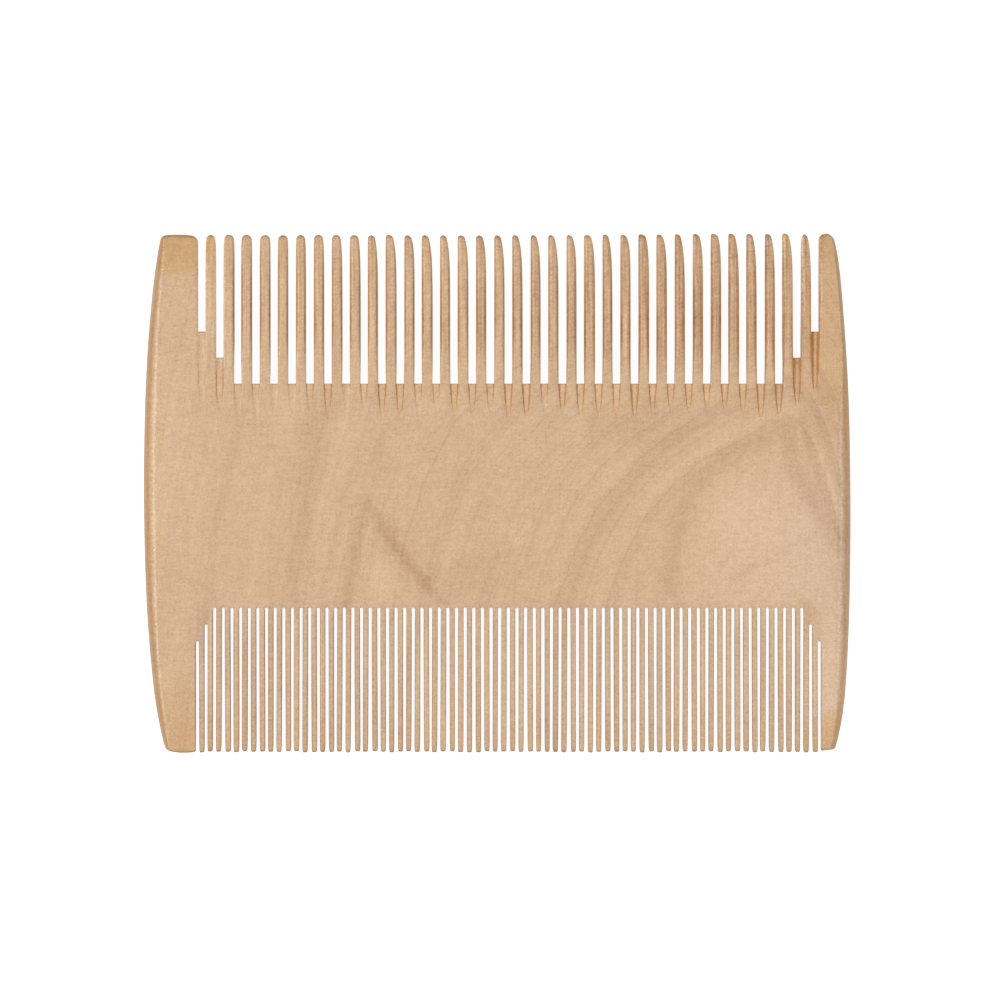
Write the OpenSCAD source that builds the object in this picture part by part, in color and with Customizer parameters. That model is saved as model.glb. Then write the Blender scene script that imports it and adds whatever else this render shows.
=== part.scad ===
// Double-sided wooden beard comb, lying flat on its lower face.
// X runs along the tooth rows, +Y points to the coarse tips, -Y to the fine tips, +Z is up.
// The origin is the centre of the comb's box in X and Y, on the lower face.
//
// The comb is sawn from one flat blank. Its regions are separate solids that meet face to face
// where the saw cuts stop: the spine, a guard at each corner, the teeth between the slots, and
// the webs that close the shorter slots at the ends of each row.

/* [Blank] */
// Length along the tooth rows
comb_length = 95; // [88:1:105]
// Width from the coarse tips to the fine tips
comb_width = 69.8; // [68:0.2:76]
// Thickness of the spine
comb_thickness = 4.4; // [4:0.1:5.4]
// Plan radius of the bowed left edge
left_edge_radius = 260; // [220:5:400]
// Plan radius of the bowed right edge
right_edge_radius = 345; // [220:5:400]
// Where the left edge is widest, above the middle of the comb's width
left_bow_y = 1.1; // [-4:0.1:4]
// Where the right edge is widest, above the middle of the comb's width
right_bow_y = -2.9; // [-4:0.1:4]

/* [Coarse row] */
// Number of coarse teeth
coarse_count = 34; // [30:1:36]
// Width of a coarse slot
coarse_gap = 1.03; // [0.8:0.01:1.1]
// Length of a full coarse slot, from its foot to the tips
coarse_length = 20.2; // [18:0.1:21]
// From the comb's left end to the first coarse slot
coarse_left_margin = 7.3; // [6:0.1:9]
// From the last coarse slot to the comb's right end
coarse_right_margin = 4.3; // [4:0.1:6]
// How much sooner each of the two slots at either end of the row stops
coarse_step = 3.5; // [2:0.1:4]
// How far each face draws in at the coarse tips
coarse_tip_drop = 1.05; // [0.4:0.05:1.1]

/* [Fine row] */
// Number of fine teeth
fine_count = 72; // [64:1:76]
// Width of a fine slot
fine_gap = 0.45; // [0.35:0.01:0.5]
// Length of a full fine slot, from its round foot to the tips
fine_length = 19.55; // [18:0.05:20]
// From the comb's left end to the first fine slot
fine_left_margin = 7; // [6:0.1:9]
// From the last fine slot to the comb's right end
fine_right_margin = 4; // [3.8:0.1:6]
// How much sooner each of the two slots at either end of the row stops
fine_step = 2.26; // [1:0.02:3]
// How far each face draws in at the fine tips
fine_tip_drop = 0.55; // [0.3:0.05:0.8]

/* [Relief grooves] */
// Radius of the wheel that eases the coarse roots
wheel_radius = 40; // [35:1:60]
// Depth of the relief grooves between the teeth
groove_depth = 0.9; // [0.6:0.05:1]
// Width of a groove's flat floor
groove_floor = 0.4; // [0.2:0.05:0.5]
// How far a groove runs out on the faces, past the foot of a full slot
groove_runout = 3.5; // [2:0.1:5]

/* [Hidden] */
half_l = comb_length / 2;
half_w = comb_width / 2;
half_t = comb_thickness / 2;
// Cutting shapes run past the wood by this much
over = 1;
// The side edges' nose is slightly flatter than a full half round
nose_r = half_t * 1.05;

coarse_pitch = (comb_length - coarse_left_margin - coarse_right_margin - coarse_gap) / coarse_count;
coarse_w = coarse_pitch - coarse_gap;
coarse_x0 = coarse_left_margin - half_l;
coarse_root = half_w - coarse_length;

fine_pitch = (comb_length - fine_left_margin - fine_right_margin - fine_gap) / fine_count;
fine_w = fine_pitch - fine_gap;
fine_x0 = fine_left_margin - half_l;
// The round feet of the fine slots are a little narrower than the slots
fine_foot_d = fine_gap * 0.9;
// Distance from the middle to where the straight part of a full fine slot ends
fine_root = half_w - fine_length + fine_foot_d / 2;

// Length of each taper, back from the tips, and the guards' own drop at the coarse tips
coarse_taper = 10.2;
guard_taper = 5;
guard_tip_drop = 0.9;
fine_taper = 6.3;
// Share of a taper that bends before it runs straight
taper_bend = 0.33;
// Blunt nose of the tips, seen from the side
tip_nose = 0.45;

// Bevel along the edges of a coarse tooth, across the tooth and through the thickness
bevel_w = 0.25;
bevel_t = 0.4;
// A relief groove widens on each side by this much for each millimetre of depth
groove_flank = 0.63;

// The first coarse teeth have even, round tips. Over the next ones the right-hand side of the
// tip is shaved back more and more, and the left-hand corner becomes almost square.
even_teeth = 4;
turning_teeth = 8;
shave_w = 0.51;
shave_length = 5.4;
shave_power = 2.4;
round_corner = 0.6;
square_corner = 0.16;
// The fine teeth are blunt, with a slight draw towards the tip
fine_draw_w = 0.05;
fine_draw_length = 1.3;
fine_corner = 0.12;

// Corner radii of the guards' ends
guard_inner_r = 0.5;
left_outer_r = 0.7;
coarse_right_outer_r = 1.4;
fine_right_outer_r = 0.6;

arc_steps = 4;

COARSE_TEETH = [for (i = [1 : coarse_count]) str("coarse_tooth_", i)];

module wood() {
    color([0.84, 0.71, 0.57]) children();
}

module end_wood() {
    color([0.82, 0.66, 0.47]) children();
}

function mix(a, b, k) = a + (b - a) * k;

// Points of a rounded corner, about centre c, from angle a to angle b
function corner(c, r, a, b) =
    [for (k = [0 : arc_steps]) let (t = mix(a, b, k / arc_steps)) c + r * [cos(t), sin(t)]];

// Centre of slot i and of tooth i, both counted from 0 at the left end of a row
function slot_x(x0, gap, pitch, i) = x0 + gap / 2 + pitch * i;
function tooth_x(x0, gap, pitch, i) = x0 + (gap + pitch) / 2 + pitch * i;
function coarse_slot_x(i) = slot_x(coarse_x0, coarse_gap, coarse_pitch, i);
function fine_slot_x(i) = slot_x(fine_x0, fine_gap, fine_pitch, i);

// How many steps sooner slot i of a row stops, where last is the number of its last slot
function steps_short(i, last) = max(0, 2 - i, 2 - (last - i));
function short_slots(last) = [0, 1, last - 1, last];

// How far a face has drawn in, a distance s into a taper
function draw_in(s, length, drop) =
    let (bend = length * taper_bend, slope = drop / (length - bend / 2))
    s < bend ? slope * s * s / (2 * bend) : slope * (s - bend / 2);

// Upper half of a row's side outline, from its root to its blunt tip
function side_half(root, length, drop) =
    let (start = half_w - length, bend = length * taper_bend, nose = half_w - tip_nose)
    concat(
        [[root, half_t]],
        [for (k = [0 : arc_steps]) let (s = bend * k / arc_steps)
            [start + s, half_t - draw_in(s, length, drop)]],
        [[nose, half_t - draw_in(length - tip_nose, length, drop)]],
        [[half_w, half_t - drop - tip_nose]]
    );

// A slab across the whole comb with that side outline, from root to the tips on the +Y side
module side_slab(root, length, drop) {
    top = side_half(root, length, drop);
    bottom = [for (k = [len(top) - 1 : -1 : 0]) [top[k][0], -top[k][1]]];
    translate([-half_l - over, 0, half_t])
        rotate([90, 0, 90])
            linear_extrude(comb_length + 2 * over)
                polygon(concat(top, bottom));
}

// Disc whose rim is rounded over the full thickness
module edge_disc(radius, x, y) {
    translate([x, y, 0])
        rotate_extrude($fn = 720)
            intersection() {
                square([radius, comb_thickness]);
                union() {
                    square([radius - nose_r, comb_thickness]);
                    translate([radius - nose_r, half_t]) circle(nose_r, $fn = 96);
                }
            }
}

// The blank before any taper. Two large discs overlap and give the bowed, rounded side edges.
module blank() {
    intersection() {
        edge_disc(left_edge_radius, left_edge_radius - half_l, left_bow_y);
        edge_disc(right_edge_radius, half_l - right_edge_radius, right_bow_y);
    }
}

// Wheel that eases a coarse root in the upper face. It lies in the slot, with its axis along X.
module relief_wheel(x) {
    deepest_y = coarse_root - groove_runout + sqrt(2 * wheel_radius * groove_depth);
    rim = groove_floor / 2;
    deep = groove_depth + over;
    translate([x, deepest_y, comb_thickness + wheel_radius - groove_depth])
        rotate([0, 90, 0])
            rotate_extrude($fn = 360)
                polygon([
                    [wheel_radius - deep, -rim - deep * groove_flank],
                    [wheel_radius, -rim],
                    [wheel_radius, rim],
                    [wheel_radius - deep, rim + deep * groove_flank]
                ]);
}

// Relief grooves of the chosen slots, in both faces
module relief_grooves(slots) {
    for (i = slots) {
        relief_wheel(coarse_slot_x(i));
        translate([0, 0, comb_thickness]) mirror([0, 0, 1]) relief_wheel(coarse_slot_x(i));
    }
}

// Round foot of a fine slot, cut through the thickness at a distance y below the middle
module fine_foot(i, y) {
    translate([fine_slot_x(i), -y, -over])
        cylinder(d = fine_foot_d, h = comb_thickness + 2 * over, $fn = 24);
}

module spine() {
    wood()
        difference() {
            intersection() {
                blank();
                translate([-half_l - over, -fine_root, -over])
                    cube([comb_length + 2 * over, fine_root + coarse_root, comb_thickness + 2 * over]);
            }
            relief_grooves([0 : coarse_count]);
            for (i = [2 : fine_count - 2]) fine_foot(i, fine_root);
        }
}

// X of the bowed edge at a height y, for the edge on the left (side = -1) or right (side = 1)
function edge_x(side, y) =
    let (radius = side < 0 ? left_edge_radius : right_edge_radius)
    let (bow = side < 0 ? left_bow_y : right_bow_y)
    side * (half_l - radius + sqrt(radius * radius - (y - bow) * (y - bow)));

// A guard: the blank's corner beyond an end slot. row is 1 on the coarse side and -1 on the
// fine side, and the plan is drawn for the coarse side and turned over for the fine one.
module guard(side, row, inner_x, root, outer_r, length, drop) {
    corner_y = half_w - outer_r;
    outer_x = edge_x(side, row * corner_y);
    plan = concat(
        [[inner_x, root]],
        corner([inner_x + side * guard_inner_r, half_w - guard_inner_r], guard_inner_r, side < 0 ? 0 : 180, 90),
        corner([outer_x - side * outer_r, corner_y], outer_r, 90, side < 0 ? 180 : 0),
        [[edge_x(side, row * root) + 2 * side * over, root]]
    );
    end_wood()
        intersection() {
            blank();
            scale([1, row, 1]) side_slab(root, length, drop);
            scale([1, row, 1])
                translate([0, 0, -over])
                    linear_extrude(comb_thickness + 2 * over)
                        polygon(plan);
        }
}

module coarse_guard_left() {
    guard(-1, 1, coarse_x0, coarse_root, left_outer_r, guard_taper, guard_tip_drop);
}

module coarse_guard_right() {
    guard(1, 1, half_l - coarse_right_margin, coarse_root, coarse_right_outer_r, guard_taper, guard_tip_drop);
}

module fine_guard_left() {
    guard(-1, -1, fine_x0, fine_root, left_outer_r, fine_taper, fine_tip_drop);
}

module fine_guard_right() {
    guard(1, -1, half_l - fine_right_margin, fine_root, fine_right_outer_r, fine_taper, fine_tip_drop);
}

// Blocks that fill the feet of the two shorter coarse slots at each end of the row
module coarse_slot_webs() {
    wood()
        difference() {
            intersection() {
                side_slab(coarse_root, coarse_taper, coarse_tip_drop);
                for (i = short_slots(coarse_count))
                    translate([coarse_slot_x(i) - coarse_gap / 2, coarse_root, 0])
                        cube([coarse_gap, coarse_step * steps_short(i, coarse_count), comb_thickness]);
            }
            relief_grooves(short_slots(coarse_count));
        }
}

// Blocks that fill the feet of the two shorter fine slots at each end of the row
module fine_slot_webs() {
    wood()
        difference() {
            for (i = short_slots(fine_count)) {
                length = fine_step * steps_short(i, fine_count);
                translate([fine_slot_x(i) - fine_gap / 2, -fine_root - length, 0])
                    cube([fine_gap, length, comb_thickness]);
            }
            for (i = short_slots(fine_count))
                fine_foot(i, fine_root + fine_step * steps_short(i, fine_count));
        }
}

// Plan of coarse tooth i about its own middle line
function coarse_plan(i) =
    let (k = min(1, max(0, (i - even_teeth) / turning_teeth)), half = coarse_w / 2)
    let (left_r = mix(round_corner, square_corner, k))
    let (shave = [for (j = [0 : arc_steps]) let (s = mix(shave_length, round_corner, j / arc_steps))
        [half - k * shave_w * pow(1 - s / shave_length, shave_power), half_w - s]])
    concat(
        [[-half, coarse_root], [half, coarse_root]],
        shave,
        corner([shave[arc_steps][0] - round_corner, half_w - round_corner], round_corner, 10, 90),
        corner([left_r - half, half_w - left_r], left_r, 90, 180)
    );

module coarse_tooth(i) {
    half = coarse_w / 2;
    section = [
        [half, half_t - bevel_t], [half - bevel_w, half_t], [bevel_w - half, half_t], [-half, half_t - bevel_t],
        [-half, bevel_t - half_t], [bevel_w - half, -half_t], [half - bevel_w, -half_t], [half, bevel_t - half_t]
    ];
    x = tooth_x(coarse_x0, coarse_gap, coarse_pitch, i);
    wood()
        intersection() {
            translate([x, 0, 0]) linear_extrude(comb_thickness) polygon(coarse_plan(i));
            translate([x, 0, half_t])
                rotate([-90, 0, 0])
                    linear_extrude(comb_width)
                        polygon(section);
            side_slab(coarse_root, coarse_taper, coarse_tip_drop);
        }
}

// Right-hand half of a fine tooth's plan, from its root to its tip
fine_half = concat(
    [[fine_w / 2, fine_root], [fine_w / 2, half_w - fine_draw_length]],
    corner([fine_w / 2 - fine_draw_w - fine_corner, half_w - fine_corner], fine_corner, 0, 90)
);
fine_plan = concat(fine_half, [for (k = [len(fine_half) - 1 : -1 : 0]) [-fine_half[k][0], fine_half[k][1]]]);

module fine_teeth() {
    wood()
        mirror([0, 1, 0])
            intersection() {
                side_slab(fine_root, fine_taper, fine_tip_drop);
                for (i = [0 : fine_count - 1])
                    translate([tooth_x(fine_x0, fine_gap, fine_pitch, i), 0, 0])
                        linear_extrude(comb_thickness)
                            polygon(fine_plan);
            }
}

spine();
coarse_guard_left();
coarse_guard_right();
fine_guard_left();
fine_guard_right();
coarse_slot_webs();
fine_slot_webs();
fine_teeth();
for (i = [1 : coarse_count])
    coarse_tooth(i - 1);
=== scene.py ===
"""Looks of the wooden beard comb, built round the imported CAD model.

The comb lies flat, with X along its rows of teeth, the coarse tips on the +Y side and the fine
ones on the -Y side. Shapes are worked out in millimetres, and a mesh is made in metres. Every
piece is the same above and below the comb's middle plane, so one function builds them all.
"""
import bisect
import math
import random

import bpy
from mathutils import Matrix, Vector


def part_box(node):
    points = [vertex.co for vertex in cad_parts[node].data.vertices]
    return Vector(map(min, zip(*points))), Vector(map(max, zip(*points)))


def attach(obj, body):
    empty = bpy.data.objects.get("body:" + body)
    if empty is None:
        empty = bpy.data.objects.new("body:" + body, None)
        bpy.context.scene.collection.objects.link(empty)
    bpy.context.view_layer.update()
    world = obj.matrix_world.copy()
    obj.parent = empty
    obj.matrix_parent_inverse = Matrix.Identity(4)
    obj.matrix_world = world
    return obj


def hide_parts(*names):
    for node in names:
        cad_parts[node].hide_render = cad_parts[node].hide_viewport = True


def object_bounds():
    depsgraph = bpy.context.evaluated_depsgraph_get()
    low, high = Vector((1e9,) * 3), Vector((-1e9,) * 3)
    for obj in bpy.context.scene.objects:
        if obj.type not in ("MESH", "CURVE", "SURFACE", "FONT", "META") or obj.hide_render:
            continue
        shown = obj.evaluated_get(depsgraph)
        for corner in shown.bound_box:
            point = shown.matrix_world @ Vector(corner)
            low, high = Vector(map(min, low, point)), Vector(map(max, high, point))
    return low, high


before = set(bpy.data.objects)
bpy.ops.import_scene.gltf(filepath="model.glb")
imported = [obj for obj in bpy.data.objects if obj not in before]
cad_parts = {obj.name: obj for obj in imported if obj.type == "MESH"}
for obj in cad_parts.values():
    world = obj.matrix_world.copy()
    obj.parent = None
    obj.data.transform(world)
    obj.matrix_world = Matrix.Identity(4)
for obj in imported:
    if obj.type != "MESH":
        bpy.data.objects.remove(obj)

CAD_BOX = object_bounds()
MM = 0.001
BODY = "root"
random.seed(34)


def box_mm(node):
    """Lowest and highest corner of a CAD node, in millimetres."""
    low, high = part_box(node)
    return Vector(low) / MM, Vector(high) / MM


def mix(a, b, k):
    return a + (b - a) * k


def clamp(value, low=0.0, high=1.0):
    return max(low, min(high, value))


def smooth(value):
    value = clamp(value)
    return value * value * (3 - 2 * value)


# ---------------------------------------------------------------------------------------------
# Sizes. What the CAD model knows comes from the model, and the rest is what the cutters leave.

SPINE_LOW, SPINE_HIGH = box_mm("spine")
HALF_T = (SPINE_HIGH.z - SPINE_LOW.z) / 2
HALF_L = (SPINE_HIGH.x - SPINE_LOW.x) / 2
HALF_W = (CAD_BOX[1].y - CAD_BOX[0].y) / 2 / MM
FINE_COUNT = 72


class Row:
    """A row of teeth. Side is 1 for the coarse row and -1 for the fine one."""

    def __init__(self, side, start, end, gap, count, root, webs_end):
        self.side = side
        self.start = start
        self.end = end
        self.gap = gap
        self.count = count
        self.pitch = (end - start - gap) / count
        self.tooth = self.pitch - gap
        self.root = root
        self.step = (webs_end - root) / 2

    def slot_x(self, i):
        return self.start + self.gap / 2 + self.pitch * i

    def tooth_x(self, i):
        return self.start + (self.gap + self.pitch) / 2 + self.pitch * i

    def foot(self, i):
        """How far from the comb's middle slot i stops. The two at either end stop sooner."""
        return self.root + self.step * max(0, 2 - i, 2 - (self.count - i))

    def short_slots(self):
        return [0, 1, self.count - 1, self.count]


def coarse_row():
    start = box_mm("coarse_guard_left")[1].x
    end = box_mm("coarse_guard_right")[0].x
    gap = box_mm("coarse_tooth_1")[0].x - start
    count = sum(name.startswith("coarse_tooth_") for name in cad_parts)
    return Row(1, start, end, gap, count, SPINE_HIGH.y, box_mm("coarse_slot_webs")[1].y)


def fine_row():
    start = box_mm("fine_guard_left")[1].x
    end = box_mm("fine_guard_right")[0].x
    gap = box_mm("fine_teeth")[0].x - start
    return Row(-1, start, end, gap, FINE_COUNT, -SPINE_LOW.y, -box_mm("fine_slot_webs")[0].y)


COARSE = coarse_row()
FINE = fine_row()

# Bowed side edges: the plan radius and the widest point of each, and how the last stretch of
# an edge sweeps in towards each tip: where that starts and how much per square millimetre
EDGE_RADIUS = {-1: 260.0, 1: 345.0}
EDGE_BOW = {-1: 1.1, 1: -2.9}
EDGE_SWEEP = {
    (-1, 1): (26.0, 0.0036),
    (1, 1): (29.0, 0.012),
    (-1, -1): (25.0, 0.0065),
    (1, -1): (26.0, 0.0104),
}
# Between its widest point and its ends an edge is this much fuller than the arc
EDGE_FULLNESS = 0.12
# How wide the rounding of each side edge is, at places along Y, and the turns of its lines
NOSE_WIDTHS = {
    -1: ((-35, 0.8), (-30, 1.2), (-18, 1.5), (-8, 1.95), (12, 1.95), (22, 1.5), (30, 1.3), (35, 1.0)),
    1: ((-35, 1.1), (-28, 1.6), (-18, 1.95), (8, 1.9), (14, 1.2), (19, 0.6), (35, 0.55)),
}
NOSE_TURNS = [math.radians(a) for a in (4, 14, 25, 36, 46, 54, 61, 68, 74, 80, 85, 90)]
# Turns of the points round the foot of a fine slot
FOOT_TURNS = [math.radians(a) for a in range(-90, 91, 30)]

# Tapers of the two rows: length, how far each face draws in, and the blunt nose of a tip
COARSE_TAPER = (10.2, 1.05, 0.62)
GUARD_TAPER = (5.0, 0.9, 0.7)
FINE_TAPER = (6.3, 0.55, 0.45)
# Share of a taper over which its slope sets in
TAPER_BEND = 0.33

# Relief grooves that a wheel leaves between the coarse roots
WHEEL_RADIUS = 40.0
GROOVE_DEPTH = 0.9
GROOVE_WIDTH = 0.77
GROOVE_REACH = 4.6
# Shares of a groove's width that its floor takes up at its point and where it is deepest, and
# how hollow its flanks are
GROOVE_FLOORS = (0.6, 0.33)
GROOVE_HOLLOW = 1.45
# Share of a flank that lies inside the slot where the groove is shallow
GROOVE_INSIDE = 0.86
# The groove of a shorter slot reaches less far, by this share of what the slot is shorter, at
# the left and at the right
GROOVE_SOONER = (0.2, 0.47)
# How far each groove reaches past its root, and how much of its depth sanding left there, which
# is less on the left. Between the teeth the full depth is left.
GROOVE_REACH_SPREAD = (0.8, 1.1)
GROOVE_LEFT_OVER = (0.24, 0.52)
GROOVE_LEFT_OVER_SPREAD = (0.7, 1.35)
GROOVES = []
for i in range(COARSE.count + 1):
    sooner = mix(*GROOVE_SOONER, i / COARSE.count) * (COARSE.foot(i) - COARSE.root)
    reach = GROOVE_REACH * random.uniform(*GROOVE_REACH_SPREAD) - sooner
    left_over = mix(*GROOVE_LEFT_OVER, i / COARSE.count) * random.uniform(*GROOVE_LEFT_OVER_SPREAD)
    GROOVES.append((reach, left_over))

# Round feet of the fine slots, and the worn rim at every slot's foot: its width and its drop
FOOT_RADIUS = FINE.gap * 0.45
RIM = 0.07
RIM_DROP = 0.12


def edge_x(side, y):
    """X of the bowed edge on the left (-1) or the right (1)."""
    radius = EDGE_RADIUS[side]
    away = y - EDGE_BOW[side]
    start, rate = EDGE_SWEEP[(side, 1 if y > 0 else -1)]
    full = EDGE_FULLNESS * smooth((abs(away) - 4) / 16)
    sweep = rate * max(0.0, abs(y) - start) ** 2
    return side * (HALF_L - radius + math.sqrt(radius * radius - away * away) + full - sweep)


def between(table, place):
    """Value at a place, read between the (place, value) pairs of a table."""
    places = [pair[0] for pair in table]
    k = bisect.bisect_right(places, place)
    if k == 0 or k == len(table):
        return table[min(k, len(table) - 1)][1]
    (a, value_a), (b, value_b) = table[k - 1 : k + 1]
    return mix(value_a, value_b, (place - a) / (b - a))


def half_height(s, taper):
    """Half thickness at a distance s back from the tips of a taper."""
    length, drop, nose = taper
    run = clamp(length - s, 0.0, length)
    bend = length * TAPER_BEND
    slope = drop / (length - bend / 2)
    drawn = slope * run * run / (2 * bend) if run < bend else slope * (run - bend / 2)
    edge = clamp(1 - s / nose)
    return HALF_T - drawn - nose * (1 - math.sqrt(1 - edge * edge))


def groove_cut(i, y):
    """How deep the wheel cuts groove i at y."""
    start = COARSE.root - GROOVES[i][0]
    away = min(0.0, y - start - math.sqrt(2 * WHEEL_RADIUS * GROOVE_DEPTH))
    return max(0.0, GROOVE_DEPTH - away * away / (2 * WHEEL_RADIUS))


def groove_lines(i, y):
    """Half of groove i's section at y, from its middle outwards, as offsets and depths.

    The fourth line is the wall of the slot where the groove is deep enough to reach it.
    """
    cut = groove_cut(i, y)
    width = GROOVE_WIDTH * max(cut / GROOVE_DEPTH, 0.04) ** 0.6
    floor = width * mix(*GROOVE_FLOORS, smooth((y - COARSE.root) / 3))
    full = GROOVES[i][1] if i in COARSE.short_slots() else 1.0
    depth = cut * mix(GROOVES[i][1], full, smooth((y - COARSE.root - 1) / 7))
    wall = min(COARSE.gap / 2, mix(floor, width, GROOVE_INSIDE))
    offsets = [0.0, floor, mix(floor, wall, 0.5), wall]
    offsets += [mix(wall, width, k) for k in (0.33, 0.67, 1.0)]
    return [(u, depth * clamp(1 - (u - floor) / (width - floor)) ** GROOVE_HOLLOW) for u in offsets]


# ---------------------------------------------------------------------------------------------
# Meshes. A slab is a list of rows that run along X. A row is a list of (x, y, h) from left to
# right, where h is the distance of both faces from the middle plane.


class Mesh:
    """Collects slabs into one closed mesh."""

    def __init__(self):
        self.points = []
        self.faces = []

    def add_row(self, row):
        """Adds a row's points on both faces, and returns their numbers above and below."""
        first = len(self.points)
        for x, y, h in row:
            self.points.append((x, y, HALF_T + h))
            self.points.append((x, y, HALF_T - h))
        return [first + 2 * i for i in range(len(row))], [first + 2 * i + 1 for i in range(len(row))]

    def strip(self, near, far, flip):
        """Fills the space between two rows of one face."""
        if len(near) == len(far):
            quads = zip(near, near[1:], far[1:], far)
            made = [tuple(quad) for quad in quads]
        else:
            made = self.stitched(near, far)
        self.faces += [face[::-1] for face in made] if flip else made

    def stitched(self, near, far):
        """Triangles between two rows that have different numbers of points."""
        made = []
        i = 0
        j = 0
        while i < len(near) - 1 or j < len(far) - 1:
            next_near = self.points[near[i + 1]][0] if i < len(near) - 1 else math.inf
            next_far = self.points[far[j + 1]][0] if j < len(far) - 1 else math.inf
            if next_near <= next_far:
                made.append((near[i], near[i + 1], far[j]))
                i += 1
            else:
                made.append((near[i], far[j + 1], far[j]))
                j += 1
        return made

    def slab(self, rows):
        """Adds a closed slab. Its rows may come from either end."""
        if rows[0][0][1] > rows[-1][0][1]:
            rows = rows[::-1]
        numbered = [self.add_row(row) for row in rows]
        for (near_up, near_down), (far_up, far_down) in zip(numbered, numbered[1:]):
            self.strip(near_up, far_up, False)
            self.strip(near_down, far_down, True)
            self.faces.append((near_up[0], far_up[0], far_down[0], near_down[0]))
            self.faces.append((near_up[-1], near_down[-1], far_down[-1], far_up[-1]))
        for (up, down), flip in ((numbered[0], False), (numbered[-1], True)):
            self.strip(down, up, flip)

    def build(self, name):
        mesh = bpy.data.meshes.new(name)
        mesh.from_pydata([Vector(p) * MM for p in self.points], [], self.faces)
        mesh.validate()
        mesh.polygons.foreach_set("use_smooth", [True] * len(mesh.polygons))
        mesh.set_sharp_from_angle(angle=math.radians(38))
        mesh.update()
        piece = bpy.data.objects.new(name, mesh)
        bpy.context.scene.collection.objects.link(piece)
        return piece


def tip_distances(round_r, end, last=7, growth=1.45, extra=()):
    """Distances back from a tip: close together over the rounding, then wider up to end.

    Those in extra are added where they lie before the end.
    """
    out = [round_r * (1 - math.cos(math.radians(90 * k / last))) for k in range(last + 1)]
    step = round_r / 3
    while out[-1] + step * growth < end:
        step = min(step * growth, 2.5)
        out.append(out[-1] + step)
    if end - out[-1] < step * 0.4:
        out.pop()
    out += [s for s in extra if 0 < s < end]
    return sorted(out + [end])


def corner_inset(s, r):
    """How far a round corner of radius r draws a side in, at a distance s back from the tip."""
    if s >= r:
        return 0.0
    return r - math.sqrt(r * r - (r - s) ** 2)


def nose_columns(side, y, half):
    """The rounded side edge at y as (x, h), from the outermost line inwards."""
    width = between(NOSE_WIDTHS[side], y) * half / HALF_T
    edge = edge_x(side, y)
    return [(edge - side * width * (1 - math.cos(turn)), half * math.sin(turn)) for turn in NOSE_TURNS]


# ---------------------------------------------------------------------------------------------
# Spine


def nose_ends(y, row, slot_edge_left, slot_edge_right):
    """Adds both nose profiles at y to the flat columns of a row between two edges."""
    left = nose_columns(-1, y, HALF_T)
    right = nose_columns(1, y, HALF_T)[::-1]
    flat_left = left[-1][0]
    flat_right = right[0][0]
    inner_left = [(mix(flat_left, slot_edge_left, k), HALF_T) for k in (0.03, 0.12, 0.4, 0.75)]
    inner_right = [(mix(flat_right, slot_edge_right, k), HALF_T) for k in (0.75, 0.4, 0.12, 0.03)]
    return left + inner_left + row + inner_right + right


def groove_row(y, foot=False):
    """A row of the spine where the grooves run. The foot row has a worn rim at each slot."""
    row = []
    for i in range(COARSE.count + 1):
        lines = groove_lines(i, y)
        x = COARSE.slot_x(i)
        worn = RIM_DROP if foot and i not in COARSE.short_slots() else 0.0
        half = [(u, HALF_T - depth - (worn if k < 3 else 0.0)) for k, (u, depth) in enumerate(lines)]
        row += [(x - u, h) for u, h in half[:0:-1]] + [(x + u, h) for u, h in half]
    edges = (row[0][0], row[-1][0])
    return [(x, y, h) for x, h in nose_ends(y, row, *edges)]


def notch_row(y, follow, drop=0.0):
    """A row of the spine near the fine slots. It follows their round feet by the given share."""
    flat = []
    for i in range(2, FINE.count - 1):
        for turn in FOOT_TURNS:
            x = FINE.slot_x(i) + FOOT_RADIUS * math.sin(turn)
            lift = FOOT_RADIUS * math.cos(turn)
            flat.append((x, lift * follow, HALF_T - drop * math.cos(turn)))
    lifts = {x: lift for x, lift, h in flat}
    columns = nose_ends(y, [(x, h) for x, lift, h in flat], flat[0][0], flat[-1][0])
    return [(x, y + lifts.get(x, 0.0), h) for x, h in columns]


# Rows of the spine over its plain part and over its grooves
PLAIN_ROWS = 11
GROOVE_ROWS = 19


def evenly(start, end, count):
    return [mix(start, end, k / (count - 1)) for k in range(count)]


def spine():
    root = -FINE.root
    rows = [notch_row(root, 1.0, RIM_DROP), notch_row(root + RIM, 1.0), notch_row(root + 0.3, 0.5)]
    plain_start = root + 0.7
    groove_start = COARSE.root - GROOVE_REACH * 1.12
    rows += [notch_row(y, 0.0) for y in evenly(plain_start, groove_start - 0.6, PLAIN_ROWS)]
    rows += [groove_row(y) for y in evenly(groove_start, COARSE.root - RIM, GROOVE_ROWS)]
    rows.append(groove_row(COARSE.root, foot=True))
    mesh = Mesh()
    mesh.slab(rows)
    return mesh.build("comb_spine")


# ---------------------------------------------------------------------------------------------
# Webs that close the shorter slots


COARSE_WEB_ROWS = 9


def coarse_webs():
    mesh = Mesh()
    for i in COARSE.short_slots():
        x = COARSE.slot_x(i)
        foot = COARSE.foot(i)
        rows = []
        for y in [*evenly(COARSE.root, foot - RIM, COARSE_WEB_ROWS), foot]:
            worn = RIM_DROP if y == foot else 0.0
            lines = groove_lines(i, y)[:4]
            taper = HALF_T - half_height(HALF_W - y, COARSE_TAPER)
            half = [(u, HALF_T - max(depth, taper) - worn) for u, depth in lines]
            half[-1] = (COARSE.gap / 2, half[-1][1])
            row = [(-u, h) for u, h in half[:0:-1]] + half
            rows.append([(x + u, y, h) for u, h in row])
        mesh.slab(rows)
    return mesh.build("comb_coarse_webs")


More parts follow.
